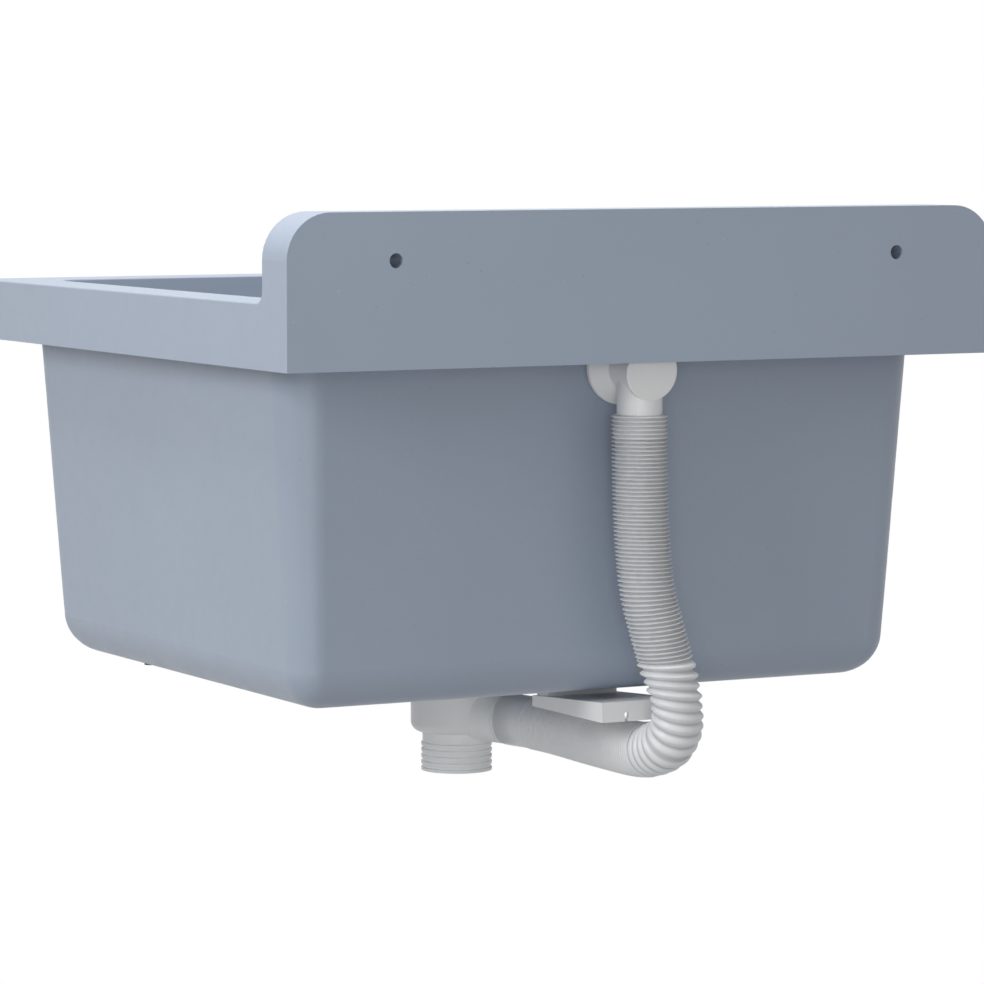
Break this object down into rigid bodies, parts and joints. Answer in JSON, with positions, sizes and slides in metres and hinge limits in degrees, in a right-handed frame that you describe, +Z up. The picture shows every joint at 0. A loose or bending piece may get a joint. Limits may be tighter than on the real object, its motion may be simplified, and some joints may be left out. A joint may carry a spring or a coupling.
{
  "type": "wall-mounted sink",
  "caption": "Wall-hung square sink with a raised back panel, deep drafted bowl, ribbed overflow hose and threaded waste outlet.",
  "frame": {"origin": "on the wall plane, midway between the two screw holes in the back panel", "axes": "+Z up, +Y into the wall (the sink stands out towards -Y), +X along the wall"},
  "size_m": [0.44, 0.4327, 0.3356],
  "materials": {
    "sink_resin": "satin moulded resin with fine dark and pale flecks",
    "white_plastic": "satin white plastic",
    "hose_plastic": "satin white ribbed plastic",
    "steel": "brushed stainless",
    "brass": "plain",
    "seal": "matt",
    "plug_rubber": "matt",
    "pad_rubber": "matt"
  },
  "bodies": {
    "sink": {"sink_basin": "sink_resin", "overflow_cover": "steel", "overflow_cover_gasket": "seal", "overflow_screw": "steel", "overflow_elbow_gasket": "seal", "overflow_elbow": "white_plastic", "overflow_insert": "brass", "overflow_hose": "hose_plastic", "drain_strainer": "steel", "drain_strainer_gasket": "seal", "drain_screw": "steel", "drain_body_gasket": "seal", "drain_body": "white_plastic", "drain_insert": "brass", "rest_block": "white_plastic", "rest_block_pad": "white_plastic", "front_pads": "pad_rubber"},
    "plug": {"drain_plug": "plug_rubber", "plug_eyelet": "steel"},
    "ring": {"plug_ring": "steel"}
  },
  "joints": [
    {"name": "plug_lift", "type": "slide", "parent": "sink", "child": "plug", "axis": [0, 0, 1], "range_m": [0, 0.24]},
    {"name": "ring_pivot", "type": "hinge", "parent": "plug", "child": "ring", "pos_m": [0, -0.2317, -0.23264], "axis": [-1, 0, 0], "range_deg": [0, 194]}
  ]
}
